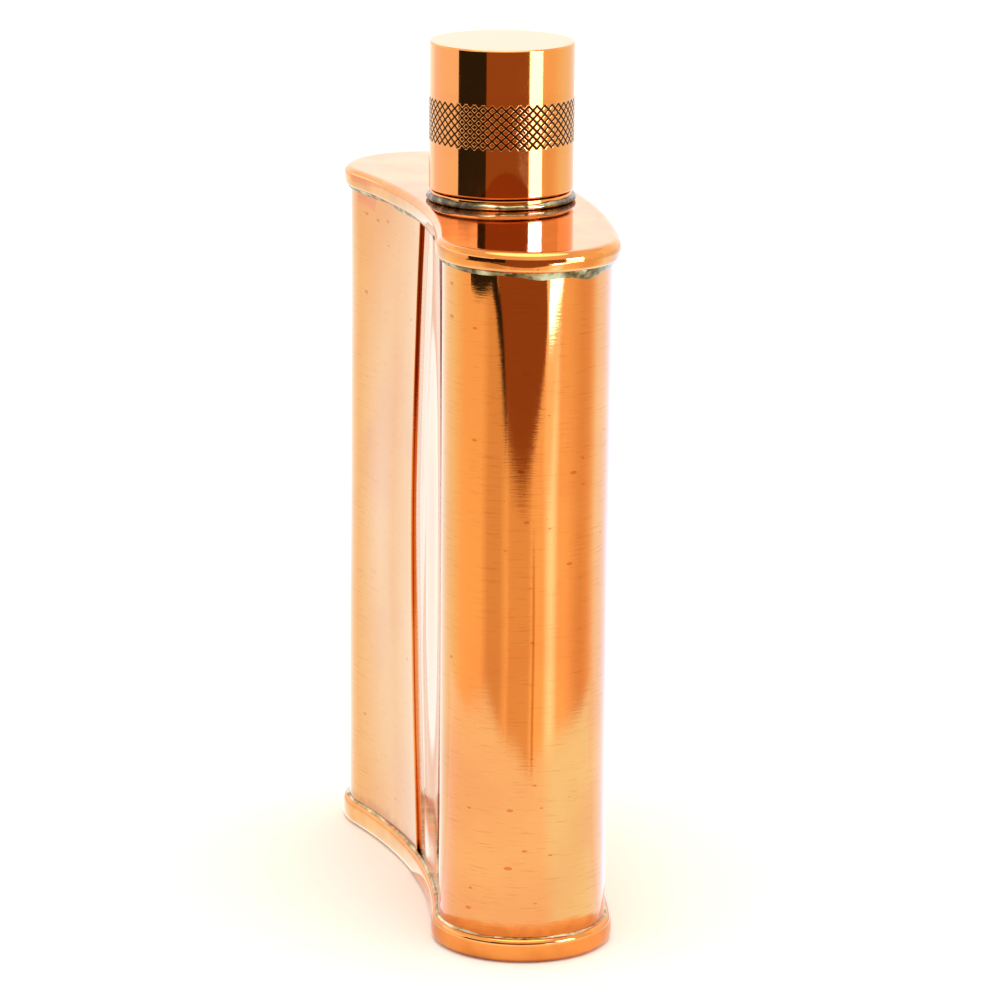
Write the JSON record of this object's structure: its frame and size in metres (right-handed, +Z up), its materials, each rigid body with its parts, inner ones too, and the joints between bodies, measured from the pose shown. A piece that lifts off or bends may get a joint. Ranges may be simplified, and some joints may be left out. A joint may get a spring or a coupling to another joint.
{
  "type": "hip flask",
  "caption": "Kidney-section hip flask in sheet copper with rimmed end plates, a threaded neck and a tall knurled screw cap.",
  "frame": {"origin": "on the floor, where the neck's axis meets the underside of the bottom plate", "axes": "+Z up along the neck and cap; X along the flask's length; -Y out of the bowed front, +Y out of the hollow hip face"},
  "size_m": [0.1052, 0.0364, 0.155],
  "materials": {
    "satin_copper": "copper sheet, brushed round the body to a satin gloss",
    "polished_copper": "copper, buffed to a mirror",
    "cap_copper": "turned copper, polished, with a knurled band",
    "solder": "soft solder, wiped, slightly tarnished",
    "liner_rubber": "matt rubber"
  },
  "bodies": {
    "flask": {"body_shell": "satin_copper", "bottom_plate": "polished_copper", "top_plate": "polished_copper", "neck_spout": "polished_copper", "top_rim_solder": "solder", "bottom_rim_solder": "solder", "neck_solder": "solder"},
    "liner": {"cap_liner": "liner_rubber"},
    "cap": {"cap": "cap_copper"}
  },
  "joints": [
    {"name": "cap_rise", "type": "slide", "parent": "flask", "child": "liner", "axis": [0, 0, 1], "range_m": [0, 0.0161]},
    {"name": "cap_spin", "type": "hinge", "parent": "liner", "child": "cap", "pos_m": [0, 0, 0.14], "axis": [0, 0, 1], "range_deg": [0, 1800]}
  ],
  "couplings": [
    {"joint": "cap_rise", "follows": "cap_spin", "m_per_rad": 0.0005093}
  ]
}
